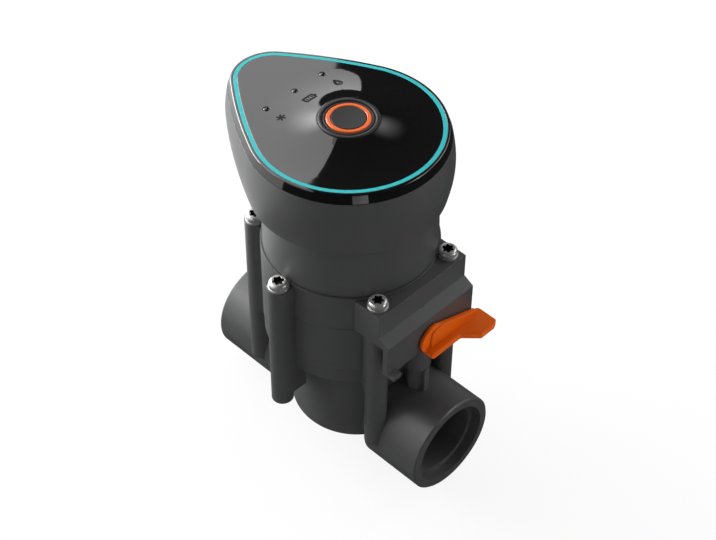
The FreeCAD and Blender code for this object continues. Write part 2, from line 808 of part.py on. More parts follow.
def lid_form():
    """Flat teardrop with a raised mound round the button, before anything is cut into it."""
    rim = Part.makeLoft([teardrop(panel_foot_offset, panel_underside_z), teardrop(panel_top_offset, panel_top_z)],
                        True, True)
    rim = rim.makeFillet(panel_edge_round, [e for e in rim.Edges if e.BoundBox.ZMin > panel_top_z - 0.01])
    # the mound's side is an arc that leaves the flat tangentially and steepens towards the button
    run = mound_foot_radius - mound_top_radius
    side_radius = (run ** 2 + mound_rise ** 2) / (2 * mound_rise)
    half = math.asin(run / side_radius) / 2
    x = button_x
    foot = V(x + mound_foot_radius, 0, panel_top_z)
    middle = V(foot.x - side_radius * math.sin(half), 0, panel_top_z + side_radius * (1 - math.cos(half)))
    crest = V(x + mound_top_radius, 0, mound_top_z())
    base_z = panel_top_z - 1
    mound = lathe_edges([arc(foot, middle, crest),
                         line(crest, V(x, 0, mound_top_z())),
                         line(V(x, 0, mound_top_z()), V(x, 0, base_z)),
                         line(V(x, 0, base_z), V(foot.x, 0, base_z)),
                         line(V(foot.x, 0, base_z), foot)], x)
    return rim.fuse(mound)


def top_panel():
    """Glossy lid with its bores for the button, the windows and the bright line."""
    inside = teardrop_prism(panel_foot_offset - head_wall - 2.2, panel_underside_z - 1, panel_ceiling_z())
    cuts = [inside,
            cylinder(bezel_radius + bezel_clearance, bezel_bottom_z(), mound_top_z() + 1, button_x),
            cylinder(button_flange_radius + bezel_clearance * 4, panel_underside_z - 1, mound_top_z() + 1, button_x),
            accent_groove()]
    for y in window_rows():
        cuts.append(cylinder(window_radius, panel_underside_z - 1, mound_top_z() + 1, window_x, y))
    return lid_form().cut(cuts).removeSplitter()


def panel_ceiling_z():
    return panel_top_z - panel_thickness


def bezel_top_z():
    return mound_top_z() + bezel_rise


def bezel_bottom_z():
    return bezel_top_z() - bezel_height


def accent_groove():
    outer = teardrop_prism(line_width / 2, panel_top_z - line_depth, panel_top_z + 1)
    return outer.cut(teardrop_prism(-line_width / 2, panel_top_z - line_depth - 1, panel_top_z + 2))


def accent_line():
    outer = teardrop_prism(line_width / 2, panel_top_z - line_depth, panel_top_z)
    return outer.cut(teardrop_prism(-line_width / 2, panel_top_z - line_depth - 1, panel_top_z + 1))


def gasket_band(z0, z1):
    """Band inside the housing's rim, in which the flat seal lies."""
    outer = teardrop_prism(head_rim_offset - gasket_inset, z0, z1)
    return outer.cut(teardrop_prism(head_rim_offset - gasket_inset - gasket_width, z0 - 1, z1 + 1))


def panel_gasket():
    return gasket_band(panel_underside_z - gasket_depth, panel_underside_z)


def window_rows():
    return [-window_pitch, 0.0, window_pitch]


def indicator_windows():
    """Light guides that end just under the panel's surface."""
    z0 = panel_ceiling_z() - window_foot
    under = lid_form()
    under.translate(V(0, 0, -window_sink))
    guides = []
    for y in window_rows():
        foot = cylinder(window_radius + window_flange, z0, panel_ceiling_z(), window_x, y)
        rod = cylinder(window_radius - window_clearance, panel_ceiling_z() - 0.1, mound_top_z(), window_x, y)
        guides.append(union(foot, rod.common(under)))
    return Part.Compound(guides)


def button_bezel():
    z1 = bezel_top_z()
    z0 = bezel_bottom_z()
    return lathe([(bezel_bore, z0), (bezel_radius, z0), (bezel_radius, z1 - 0.4), (bezel_radius - 0.4, z1),
                  (bezel_radius - 0.8, z1), (bezel_radius - 1.1, z1 - 0.3), (bezel_bore, z1 - 0.3)], button_x)


def button_top_z():
    return mound_top_z() + button_rise


def button_cap():
    """Dished cap on a drum, with a flange that the bezel holds down and a stem to the switch."""
    top = button_top_z()
    drum_top = top - button_ring_height
    flange_top = bezel_bottom_z() - button_flange_gap
    flange_low = flange_top - button_flange
    r = button_ring_bore - running_clearance
    lip = 0.3
    x = button_x
    stem_low = switch_top_z() + actuator_height
    outline = [(0, stem_low), (button_stem_radius, stem_low), (button_stem_radius, flange_low),
               (button_flange_radius, flange_low), (button_flange_radius, flange_top), (button_radius, flange_top),
               (button_radius, drum_top), (r, drum_top), (r, top - lip), (r - lip, top)]
    corners = [V(x + radius, 0, z) for radius, z in outline]
    # the dish is part of a sphere, so its arc is centred on the button's axis
    half_width = r - lip
    sphere = (half_width ** 2 + button_dish ** 2) / (2 * button_dish)
    half = math.asin(half_width / sphere) / 2
    bottom = V(x, 0, top - button_dish)
    middle = V(x + sphere * math.sin(half), 0, bottom.z + sphere * (1 - math.cos(half)))
    edges = [line(a, b) for a, b in zip(corners, corners[1:])]
    edges.append(arc(corners[-1], middle, bottom))
    edges.append(line(bottom, corners[0]))
    return lathe_edges(edges, x)


def button_ring():
    top = button_top_z()
    z0 = top - button_ring_height
    return lathe([(button_ring_bore, z0), (button_radius, z0), (button_radius, top - 0.3),
                  (button_radius - 0.3, top), (button_ring_bore + 0.2, top), (button_ring_bore, top - 0.2)], button_x)


def board_top_z():
    return board_z + board_thickness


def switch_top_z():
    return board_top_z() + switch_height


def tact_switch():
    half = switch_side / 2
    z0 = board_top_z()
    z1 = switch_top_z()
    case = box(button_x - half, button_x + half, -half, half, z0, z1)
    well = cylinder(actuator_radius + running_clearance, z0 + 0.6, z1 + 1, button_x)
    return case.cut(well)


def switch_actuator():
    z1 = switch_top_z() + actuator_height
    return cylinder(actuator_radius, board_top_z() + 0.6 + button_travel + 0.2, z1, button_x)


def button_seal():
    z1 = panel_ceiling_z()
    return tube(seal_radius, button_stem_radius + seal_clearance, z1 - seal_thickness, z1, button_x)


def circuit_board():
    plate = teardrop_prism(head_rim_offset - head_wall - board_clearance, board_z, board_top_z())
    edge = line_front_x + line_front_radius
    notch = box(edge - board_notch_depth, edge + head_belly_offset, -board_notch_width / 2, board_notch_width / 2,
                board_z - 1, board_top_z() + 1)
    return plate.cut(notch)


def radio_module():
    z0 = board_top_z()
    half = radio_side / 2
    can = box(radio_x - half, radio_x + half, -half, half, z0, z0 + radio_height)
    return can.makeFillet(0.5, [e for e in can.Edges if e.BoundBox.ZMin > z0 + radio_height - 0.01])


def board_leds():
    z0 = board_top_z()
    return Part.Compound([box(window_x - led_length / 2, window_x + led_length / 2, y - led_width / 2,
                              y + led_width / 2, z0, z0 + led_height) for y in window_rows()])


def battery():
    """9 volt block lying flat, terminals towards +X."""
    x0 = battery_x - battery_length / 2
    x1 = battery_x + battery_length / 2
    body_end = x1 - terminal_height
    case = box(x0, body_end, -battery_width / 2, battery_width / 2, battery_z, battery_z + battery_height)
    case = case.makeFillet(1.6, [e for e in case.Edges if e.BoundBox.XLength > battery_length / 2])
    middle = battery_z + battery_height / 2
    studs = [cylinder_x(terminal_radius, body_end - 1, x1, side * battery_width / 4, middle) for side in (-1, 1)]
    return union(case, *studs)


def tray_room(wall):
    """The battery's pocket, or with a wall the room that the tray takes up."""
    x0 = battery_x - battery_length / 2 - battery_gap - wall
    x1 = battery_x + battery_length / 2 + clip_thickness + battery_gap + wall
    half_w = battery_width / 2 + battery_gap + wall
    return box(x0, x1, -half_w, half_w, battery_z - wall, battery_z + tray_depth)


def battery_tray():
    """Pocket hanging through the floor of the head, from a round plate."""
    x0 = battery_x - battery_length / 2 - battery_gap
    x1 = battery_x + battery_length / 2 + clip_thickness + battery_gap
    wall = tray_wall
    outer = tray_room(wall)
    plate_z = head_bottom_z + head_floor
    plate = cylinder(tray_rim_radius, plate_z, plate_z + wall)
    pocket = tray_room(0)
    window = box(x0 + tray_window_inset, x1 - tray_window_inset, -tray_window_width / 2, tray_window_width / 2,
                 battery_z - wall - 1, battery_z + 1)
    return outer.fuse(plate).cut(pocket).cut(window).removeSplitter()


def battery_clip():
    x0 = battery_x + battery_length / 2
    z0 = battery_z + 1
    plate = box(x0, x0 + clip_thickness, -battery_width / 2 + 1, battery_width / 2 - 1, z0, z0 + battery_height - 2)
    return plate.makeFillet(0.8, [e for e in plate.Edges if abs(e.BoundBox.XMin - x0 - clip_thickness) < 0.01])


def inlet_filter():
    """Slotted cup that drops into the inlet behind the thread."""
    seat_x = filter_seat_x()
    z = pipe_axis_z
    ring_start = seat_x - filter_ring_thickness
    cup_end = -(passage_radius + duct_wall + filter_duct_gap)
    inner = filter_cup_radius - filter_cup_wall
    body = cylinder_x(filter_ring_radius, ring_start, seat_x, z=z).fuse(
        cylinder_x(filter_cup_radius, ring_start, cup_end, z=z))
    body = body.cut(cylinder_x(inner, ring_start - 1, cup_end - filter_end, z=z))
    for i in range(filter_slots):
        slot = box(seat_x + 2, cup_end - filter_end - 1, -filter_slot_width / 2, filter_slot_width / 2,
                   z + inner - 3, z + filter_cup_radius + 1)
        slot.rotate(V(0, 0, z), V(1, 0, 0), 360.0 * i / filter_slots)
        body = body.cut(slot)
    return body.removeSplitter()


PIECES = {
    "valve_body": valve_body,
    "screw_columns": screw_columns,
    "bonnet": bonnet,
    "bleed_block": bleed_block,
    "cover_screws": cover_screws,
    "screw_washers": screw_washers,
    "inlet_filter": inlet_filter,
    "diaphragm": diaphragm,
    "seat_washer": seat_washer,
    "diaphragm_plate": diaphragm_plate,
    "centre_screw": centre_screw,
    "return_spring": return_spring,
    "core_tube": core_tube,
    "plunger": plunger,
    "plunger_seal": plunger_seal,
    "plunger_spring": plunger_spring,
    "solenoid_bobbin": solenoid_bobbin,
    "solenoid_winding": solenoid_winding,
    "solenoid_yoke": solenoid_yoke,
    "neck_ring": neck_ring,
    "controller_housing": controller_housing,
    "panel_gasket": panel_gasket,
    "top_panel": top_panel,
    "accent_line": accent_line,
    "indicator_windows": indicator_windows,
    "button_bezel": button_bezel,
    "button_cap": button_cap,
    "button_ring": button_ring,
    "button_seal": button_seal,
    "switch_actuator": switch_actuator,
    "tact_switch": tact_switch,
    "circuit_board": circuit_board,
    "board_leds": board_leds,
    "radio_module": radio_module,
    "battery": battery,
    "battery_clip": battery_clip,
    "battery_tray": battery_tray,
    "manual_lever": manual_lever,
    "lever_shaft": lever_shaft,
    "lever_ring": lever_ring,
}

os.makedirs("parts", exist_ok=True)
for piece_name, make in PIECES.items():
    export(piece_name, make())
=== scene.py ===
import bpy
import bmesh
import json
import math
from mathutils import Matrix, Vector


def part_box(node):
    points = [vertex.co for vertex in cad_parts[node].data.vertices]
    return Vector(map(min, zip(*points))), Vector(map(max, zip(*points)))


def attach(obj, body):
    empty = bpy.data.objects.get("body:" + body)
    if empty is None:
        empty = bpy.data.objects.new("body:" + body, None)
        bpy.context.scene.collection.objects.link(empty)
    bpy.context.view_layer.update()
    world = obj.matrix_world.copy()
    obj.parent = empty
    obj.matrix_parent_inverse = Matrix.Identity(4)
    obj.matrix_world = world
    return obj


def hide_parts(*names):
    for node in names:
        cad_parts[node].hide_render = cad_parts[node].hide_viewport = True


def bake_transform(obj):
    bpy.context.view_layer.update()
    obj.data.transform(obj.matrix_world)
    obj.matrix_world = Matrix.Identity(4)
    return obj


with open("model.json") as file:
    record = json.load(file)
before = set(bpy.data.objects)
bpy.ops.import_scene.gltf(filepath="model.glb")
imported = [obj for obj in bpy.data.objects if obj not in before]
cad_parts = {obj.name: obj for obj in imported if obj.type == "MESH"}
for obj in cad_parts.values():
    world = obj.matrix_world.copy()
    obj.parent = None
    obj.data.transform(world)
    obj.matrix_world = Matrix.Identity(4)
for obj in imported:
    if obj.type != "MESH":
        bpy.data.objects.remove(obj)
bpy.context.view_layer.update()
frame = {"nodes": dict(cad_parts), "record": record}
nodes = frame["nodes"]

MM = 0.001
smooth_angle = math.radians(35)

# Places and sizes taken over from the solids, in millimetres
screw_circle_radius = 39.1
screw_seat_z = 101.6
panel_top_z = 156.7
mound_foot_radius = 34.2
mound_top_radius = 12.1
mound_rise = 3.8
button_x = -1.2
window_x = -30.0
window_pitch = 14.75


# Materials

class Shader:
    """A node material with one Principled shader and short calls to wire it."""

    def __init__(self, name):
        self.material = bpy.data.materials.new(name)
        self.material.use_nodes = True
        self.tree = self.material.node_tree
        self.principled = self.tree.nodes["Principled BSDF"]
        self.coords = self.tree.nodes.new("ShaderNodeTexCoord")

    def set(self, **values):
        for key, value in values.items():
            self.principled.inputs[key.replace("_", " ")].default_value = value
        return self

    def link(self, a, b):
        self.tree.links.new(a, b)

    def noise(self, scale, detail=2.0, roughness=0.5):
        n = self.tree.nodes.new("ShaderNodeTexNoise")
        n.inputs["Scale"].default_value = scale
        n.inputs["Detail"].default_value = detail
        n.inputs["Roughness"].default_value = roughness
        self.link(self.coords.outputs["Object"], n.inputs["Vector"])
        return n.outputs["Fac"]

    def gloss(self, fac, low, high, start=0.3, end=0.7):
        """Roughness that drifts from low to high."""
        n = self.tree.nodes.new("ShaderNodeMapRange")
        n.inputs["From Min"].default_value = start
        n.inputs["From Max"].default_value = end
        n.inputs["To Min"].default_value = low
        n.inputs["To Max"].default_value = high
        self.link(fac, n.inputs["Value"])
        self.link(n.outputs["Result"], self.principled.inputs["Roughness"])
        return self

    def tint(self, fac, colour, spread):
        """Base colour that drifts a little round one colour."""
        n = self.tree.nodes.new("ShaderNodeMix")
        n.data_type = "RGBA"
        n.inputs["A"].default_value = [c * (1 - spread) for c in colour] + [1.0]
        n.inputs["B"].default_value = [c * (1 + spread) for c in colour] + [1.0]
        self.link(fac, n.inputs["Factor"])
        self.link(n.outputs["Result"], self.principled.inputs["Base Color"])
        return self

    def bump(self, height, strength, distance, bevel=0.0):
        n = self.tree.nodes.new("ShaderNodeBump")
        n.inputs["Strength"].default_value = strength
        n.inputs["Distance"].default_value = distance
        self.link(height, n.inputs["Height"])
        if bevel:
            b = self.tree.nodes.new("ShaderNodeBevel")
            b.samples = 4
            b.inputs["Radius"].default_value = bevel
            self.link(b.outputs["Normal"], n.inputs["Normal"])
        self.link(n.outputs["Normal"], self.principled.inputs["Normal"])
        return self


def moulded(name, colour, roughness, grain=1500.0, strength=0.12, spread=0.06, bevel=0.0003, ior=1.45):
    """Spark-eroded moulded plastic: fine even grain, slightly uneven gloss."""
    s = Shader(name).set(IOR=ior)
    s.tint(s.noise(60.0, 3.0), colour, spread)
    s.gloss(s.noise(35.0, 4.0), roughness - 0.04, roughness + 0.05)
    return s.bump(s.noise(grain, 2.0, 0.6), strength, distance=0.00012, bevel=bevel)


def metal(name, colour, roughness, metallic=1.0):
    """Turned or drawn metal with a faint grain."""
    s = Shader(name).set(Metallic=metallic)
    s.tint(s.noise(120.0, 3.0), colour, 0.08)
    s.gloss(s.noise(260.0, 4.0), roughness - 0.06, roughness + 0.08)
    return s.bump(s.noise(900.0), strength=0.06, distance=0.00008, bevel=0.0002)


def rubber(name, colour):
    s = Shader(name).set(IOR=1.5)
    s.tint(s.noise(80.0, 3.0), colour, 0.12)
    s.gloss(s.noise(200.0, 3.0), 0.62, 0.75)
    return s.bump(s.noise(1100.0), strength=0.1, distance=0.0001)


body_plastic = moulded("body_plastic", (0.059, 0.06, 0.0615), 0.4, ior=1.53)
lever_plastic = moulded("lever_plastic", (0.68, 0.102, 0.002), 0.3, grain=1200.0, bevel=0.0004, ior=1.22)
cap_plastic = moulded("cap_plastic", (0.026, 0.0255, 0.0255), 0.5, grain=2200.0, ior=1.3)
bezel_satin = moulded("bezel_satin", (0.018, 0.018, 0.0185), 0.36, grain=2200.0, strength=0.06)
lip_satin = moulded("lip_satin", (0.02, 0.02, 0.0205), 0.42, grain=2200.0, strength=0.06, ior=1.35)
black_plastic = moulded("black_plastic", (0.02, 0.02, 0.022), 0.4)
white_plastic = moulded("white_plastic", (0.74, 0.74, 0.71), 0.42)
board_mask = moulded("board_mask", (0.015, 0.16, 0.06), 0.3, grain=400.0)
steel = metal("steel", (0.52, 0.515, 0.505), 0.3, metallic=0.72)
# Painted shade: a darker steel for the screw recesses, standing in for the shade inside them, not a
# different metal
recess_painted_shade = metal("recess_painted_shade", (0.06, 0.06, 0.06), 0.4)
spring_steel = metal("spring_steel", (0.45, 0.45, 0.47), 0.3)
copper = metal("copper", (0.65, 0.28, 0.13), 0.35)
battery_skin = metal("battery_skin", (0.16, 0.17, 0.19), 0.38)
seal_rubber = rubber("seal_rubber", (0.018, 0.018, 0.019))

gloss_black = Shader("gloss_black").set(IOR=1.72)
gloss_black.tint(gloss_black.noise(40.0), (0.006, 0.006, 0.0065), 0.1)
gloss_black.gloss(gloss_black.noise(18.0, 3.0), 0.025, 0.045)
gloss_black.bump(gloss_black.noise(160.0), strength=0.012, distance=0.0001, bevel=0.00035)

accent = Shader("accent_cyan").set(IOR=1.4)
accent.tint(accent.noise(90.0), (0.022, 0.43, 0.45), 0.05)
accent.gloss(accent.noise(140.0), 0.22, 0.3)
accent.bump(accent.noise(700.0), strength=0.05, distance=0.00008, bevel=0.0002)

ring_light = Shader("ring_light").set(IOR=1.5)
ring_light.tint(ring_light.noise(70.0), (0.72, 0.105, 0.004), 0.05)
ring_light.gloss(ring_light.noise(150.0), 0.28, 0.34)
ring_light.bump(ring_light.noise(900.0), strength=0.05, distance=0.00008, bevel=0.0002)

lens_plastic = Shader("lens_plastic").set(IOR=1.6)
lens_plastic.tint(lens_plastic.noise(200.0), (0.01, 0.01, 0.0105), 0.1)
lens_plastic.gloss(lens_plastic.noise(300.0), 0.06, 0.12)

print_black = Shader("print_black").set(IOR=1.2)
print_black.tint(print_black.noise(500.0), (0.012, 0.012, 0.0125), 0.08)
print_black.gloss(print_black.noise(400.0), 0.6, 0.75)

finish_of_slot = {
    "moulded_plastic": body_plastic,
    "panel_gloss": gloss_black,
    "accent_cyan": accent,
    "ring_orange": ring_light,
    "button_dark": cap_plastic,
    "lever_orange": lever_plastic,
    "steel": steel,
    "spring_steel": spring_steel,
    "rubber_black": seal_rubber,
    "white_plastic": white_plastic,
    "black_plastic": black_plastic,
    "copper_wire": copper,
    "window_clear": lens_plastic,
    "board_green": board_mask,
    "battery_case": battery_skin,
}


def dress(obj, shader):
    obj.data.materials.clear()
    obj.data.materials.append(shader.material)


for part in frame["record"]["subparts"]:
    dress(nodes[part["node"]], finish_of_slot[part["material_slot"]])


# Pieces

def new_piece(name, bm, shader, body, smooth=True, inner=None):
    """Object from a bmesh. inner is a second shader for the faces of material index 1."""
    mesh = bpy.data.meshes.new(name)
    for finish in (shader, inner):
        if finish is not None:
            mesh.materials.append(finish.material)
    bmesh.ops.recalc_face_normals(bm, faces=bm.faces)
    bm.to_mesh(mesh)
    bm.free()
    obj = bpy.data.objects.new(name, mesh)
    bpy.context.scene.collection.objects.link(obj)
    if smooth:
        for p in mesh.polygons:
            p.use_smooth = True
        obj.modifiers.new("edges", "EDGE_SPLIT").split_angle = smooth_angle
    if body is not None:
        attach(obj, body)
    return obj


def circle(bm, centre, radius, steps, wave=None):
    """Loop of points round an upright axis, in millimetres. wave scales the radius at an angle."""
    loop = []
    for i in range(steps):
        a = 2 * math.pi * i / steps
        r = radius * wave(a) if wave else radius
        loop.append(bm.verts.new((centre + Vector((r * math.cos(a), r * math.sin(a), 0))) * MM))
    return loop


def join(bm, loops, closed=False, material_index=0):
    """Walls between loops that follow each other. closed joins the last to the first as well."""
    following = loops[1:] + loops[:1] if closed else loops[1:]
    for a, b in zip(loops, following):
        n = len(a)
        for i in range(n):
            face = bm.faces.new((a[i], a[(i + 1) % n], b[(i + 1) % n], b[i]))
            face.material_index = material_index


def cap_ends(bm, loops):
    bm.faces.new(list(reversed(loops[0])))
    bm.faces.new(loops[-1])


# The cover screws, in millimetres, with heights from the seat under the head
screw_count = 6
first_screw_angle = -90
screw_turn = 0.35
screw_steps = 72
head_radius = 3.85
head_height = 2.6
head_foot_inset = 0.15
head_foot_z = 0.02
head_wall_z = 0.2
head_dome_z = 1.15
head_dome_inset = 1.3
head_dome_fill = 0.99
recess_lobes = 6
recess_lobe_depth = 0.16
recess_mouth_radius = 2.2
recess_edge_radius = 2.08
recess_floor_radius = 2.0
recess_centre_radius = 0.9
recess_edge_depth = 0.12
recess_floor_depth = 1.7
recess_centre_depth = 1.8
shank_radius = 2.35
shank_length = 30.0
shank_steps = 24
flange_radius = 4.15
flange_bore_radius = 2.6
flange_thickness = 0.7
flange_edge = 0.12


def screw_head(bm, centre, turn):
    """Domed pan head with a six-lobed recess, as rings from the seat to the recess floor."""

    def lobed(angle):
        return 1 + recess_lobe_depth * math.cos(recess_lobes * (angle + turn))

    def ring(radius, z, wave=None):
        return circle(bm, centre + Vector((0, 0, z)), radius, screw_steps, wave)

    rings = [ring(head_radius - head_foot_inset, head_foot_z), ring(head_radius, head_wall_z),
             ring(head_radius, head_dome_z)]
    for degrees in range(15, 91, 15):
        a = math.radians(degrees)
        rise = (head_height - head_dome_z) * math.sin(a) * head_dome_fill
        rings.append(ring(head_radius - head_dome_inset * (1 - math.cos(a)), head_dome_z + rise))
    rings += [ring(recess_mouth_radius, head_height, lobed),
              ring(recess_edge_radius, head_height - recess_edge_depth, lobed)]
    join(bm, rings)
    # The recess walls and floor take the second shader, the darker steel that paints the shade in the
    # recess
    recess = [rings[-1], ring(recess_floor_radius, head_height - recess_floor_depth, lobed),
              ring(recess_centre_radius, head_height - recess_centre_depth)]
    join(bm, recess, material_index=1)
    bm.faces.new(recess[-1]).material_index = 1
    bm.faces.new(list(reversed(rings[0])))


def screw_shank(bm, centre):
    low_end = circle(bm, centre - Vector((0, 0, shank_length)), shank_radius, shank_steps)
    ends = [low_end, circle(bm, centre, shank_radius, shank_steps)]
    join(bm, ends)
    cap_ends(bm, ends)


def screw_flange(bm, centre):
    """Flat washer under a head, its outer edge broken."""
    profile = [(flange_bore_radius, -flange_thickness), (flange_radius, -flange_thickness),
               (flange_radius, -flange_edge), (flange_radius - flange_edge, 0.0), (flange_bore_radius, 0.0)]
    join(bm, [circle(bm, centre + Vector((0, 0, z)), r, screw_steps) for r, z in profile], closed=True)


bm = bmesh.new()
for i in range(screw_count):
    angle = math.radians(first_screw_angle + 360 / screw_count * i)
    x = screw_circle_radius * math.cos(angle)
    y = screw_circle_radius * math.sin(angle)
    spot = Vector((x, y, screw_seat_z))
    screw_head(bm, spot, screw_turn * i)
    screw_shank(bm, spot)
    screw_flange(bm, spot)
screws = new_piece("cover_screws_lobed", bm, steel, "valve", inner=recess_painted_shade)
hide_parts("cover_screws", "screw_washers")


# The bezel round the button: an outer ring, a groove and an inner lip, in millimetres
bezel_steps = 160
bezel_low = 157.25
ring_top = 160.85
ring_outer = 11.5
ring_inner = 10.1
groove_radius = 9.75
groove_z = 159.9
lip_top = 160.65
lip_outer = 9.7
lip_inner = 8.8
rim_depth = 0.3
rim_middle = 0.1
ring_round = 0.3
ring_outer_middle = 0.09
ring_inner_middle = 0.08
lip_round = 0.25
lip_outer_middle = 0.08
lip_inner_middle = 0.07


def turned(name, profile, shader):
    """Ring round the button's axis over a closed profile of (radius, height) points."""
    bm = bmesh.new()
    join(bm, [circle(bm, Vector((button_x, 0, z)), r, bezel_steps) for r, z in profile], closed=True)
    return new_piece(name, bm, shader, "valve")


ring_profile = [
    (groove_radius, bezel_low), (ring_outer, bezel_low), (ring_outer, ring_top - rim_depth),
    (ring_outer - ring_outer_middle, ring_top - rim_middle), (ring_outer - ring_round, ring_top),
    (ring_inner + ring_round, ring_top), (ring_inner + ring_inner_middle, ring_top - rim_middle),
    (ring_inner, ring_top - rim_depth), (ring_inner, groove_z), (groove_radius, groove_z)]
lip_profile = [
    (lip_inner, bezel_low), (lip_outer, bezel_low), (lip_outer, lip_top - rim_depth),
    (lip_outer - lip_outer_middle, lip_top - rim_middle), (lip_outer - lip_round, lip_top),
    (lip_inner + lip_round, lip_top), (lip_inner + lip_inner_middle, lip_top - rim_middle),
    (lip_inner, lip_top - rim_depth)]
bezel = turned("button_bezel_ring", ring_profile, bezel_satin)
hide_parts("button_bezel")
turned("button_bezel_lip", lip_profile, lip_satin)


def rounded(corners, radii, steps=6):
    """Closed outline with its corners rounded."""
    made = []
    for i, radius in enumerate(radii):
        corner = Vector(corners[i])
        before = (Vector(corners[i - 1]) - corner).normalized()
        after = (Vector(corners[(i + 1) % len(corners)]) - corner).normalized()
        cut = radius / math.tan(before.angle(after) / 2)
        for k in range(steps + 1):
            t = k / steps
            made.append(corner + before * cut * (1 - t) ** 2 + after * cut * t ** 2)
    return made


def slab(bm, outline, low, high, edge, place):
    """Plate over a counter-clockwise outline with both rims rounded. place(u, v, w) gives the point."""
    n = len(outline)
    mitres = []
    for i in range(n):
        one = (outline[i] - outline[i - 1]).normalized()
        two = (outline[(i + 1) % n] - outline[i]).normalized()
        normal_one = Vector((one.y, -one.x))
        normal_two = Vector((two.y, -two.x))
        mitres.append((normal_one + normal_two) / (1 + normal_one.dot(normal_two)))
    levels = []
    for degrees in (90, 60, 30, 0):
        a = math.radians(degrees)
        levels.append((low + edge * (1 - math.sin(a)), edge * (1 - math.cos(a))))
    levels += [(high + low - w, inset) for w, inset in reversed(levels)]
    loops = []
    for w, inset in levels:
        spots = [p - m * inset for p, m in zip(outline, mitres)]
        loops.append([bm.verts.new(Vector(place(p.x, p.y, w)) * MM) for p in spots])
    join(bm, loops)
    cap_ends(bm, loops)


# The lever, in millimetres: hub against the plate, a web that slopes down from it, and the flared blade
lever_x = 44.3
lever_axis_z = 76.7
hub_radius = 6.7
hub_steps = 64
hub_thickness = 1.7
web_thickness = 2.5
upright_edge = 0.5
blade_low_z = 70.7
blade_high_z = 73.5
blade_edge = 0.45
web_corners = [(-2.5, 71.5), (24.6, 71.5), (24.9, 74.7), (3.4, 82.3), (-1.5, 81.0)]
web_radii = [0.5, 0.5, 1.0, 2.5, 1.5]
blade_corners = [(0, -4.5), (5.6, -4.5), (5.6, 11.5), (11.5, 17.2), (11.5, 25.0), (10.2, 27.4), (0, 27.4)]
blade_radii = [0.8, 1.4, 1.6, 1.0, 1.4, 1.2, 2.2]


def upright(y, z, x):
    return (x, y, z)


def level(u, y, z):
    return (lever_x + u, y, z)


bm = bmesh.new()
hub = []
for i in range(hub_steps):
    a = 2 * math.pi * i / hub_steps
    hub.append(Vector((hub_radius * math.cos(a), lever_axis_z + hub_radius * math.sin(a))))
slab(bm, hub, lever_x, lever_x + hub_thickness, upright_edge, upright)
slab(bm, rounded(web_corners, web_radii), lever_x, lever_x + web_thickness, upright_edge, upright)
slab(bm, rounded(blade_corners, blade_radii), blade_low_z, blade_high_z, blade_edge, level)
lever = new_piece("lever_moulding", bm, lever_plastic, "lever")
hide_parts("manual_lever")


# Soft pieces inside: wound springs and a copy of the diaphragm, in place of their nodes
coil_steps = 32
wire_sides = 8
closed_turns = 0.9


def coil_spring(name, node, wire, turns):
    """Wound spring with closed ends in the room of a node."""
    low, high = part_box(node)
    radius = high[0] - wire / 2
    first = low[2] + wire / 2
    last = high[2] - wire / 2
    flat = closed_turns / turns
    steps = turns * coil_steps
    bm = bmesh.new()
    loops = []
    for i in range(steps + 1):
        t = i / steps
        if t < flat:
            z = first + wire * t / flat
        elif t > 1 - flat:
            z = last - wire * (1 - t) / flat
        else:
            z = first + wire + (last - first - 2 * wire) * (t - flat) / (1 - 2 * flat)
        angle = 2 * math.pi * turns * t
        out = Vector((math.cos(angle), math.sin(angle), 0))
        loop = []
        for k in range(wire_sides):
            b = 2 * math.pi * k / wire_sides
            side = out * (radius + wire / 2 * math.cos(b))
            loop.append(bm.verts.new(side + Vector((0, 0, z + wire / 2 * math.sin(b)))))
        loops.append(loop)
    join(bm, loops)
    cap_ends(bm, loops)
    spring = new_piece(name, bm, spring_steel, None)
    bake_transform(spring)
    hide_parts(node)


coil_spring("return_spring_coil", "return_spring", 1.2 * MM, 5)
coil_spring("plunger_spring_coil", "plunger_spring", 0.5 * MM, 7)

bm = bmesh.new()
bm.from_mesh(nodes["diaphragm"].data)
membrane = new_piece("diaphragm_membrane", bm, seal_rubber, None)
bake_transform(membrane)
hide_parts("diaphragm")


def panel_height(x, y):
    """Height of the glossy panel's surface at a place, in millimetres."""
    run = mound_foot_radius - mound_top_radius
    side = (run ** 2 + mound_rise ** 2) / (2 * mound_rise)
    away = mound_foot_radius - math.hypot(x - button_x, y)
    if away <= 0:
        return panel_top_z
    return panel_top_z + side - math.sqrt(side ** 2 - min(away, run) ** 2)


# The printed signs beside the windows, in millimetres
print_lift = 0.035
print_step = 0.3
sign_x = window_x + 8.0
drop_steps = 32
drop_sizes = (1.95, 1.05)
drop_stretch = 1.05
drop_fullness = 0.6
drop_width = 0.6
battery_half_x = 1.3
battery_half_y = 2.35
battery_pole_y = 3.0
battery_pole_half = 0.5
battery_width = 0.95
bar_rows = (-1.2, 0.0, 1.2)
bar_half = 0.6
bar_width = 0.5
link_arm = 1.9
link_angles = (30, 90, 150)
link_width = 0.75


def divided(points, closed):
    """The same outline with points close enough to follow the curved panel."""
    corners = points + points[:1] if closed else points
    made = []
    for a, b in zip(corners, corners[1:]):
        count = max(1, math.ceil(math.dist(a, b) / print_step))
        made += [(a[0] + (b[0] - a[0]) * i / count, a[1] + (b[1] - a[1]) * i / count) for i in range(count)]
    return made if closed else made + points[-1:]


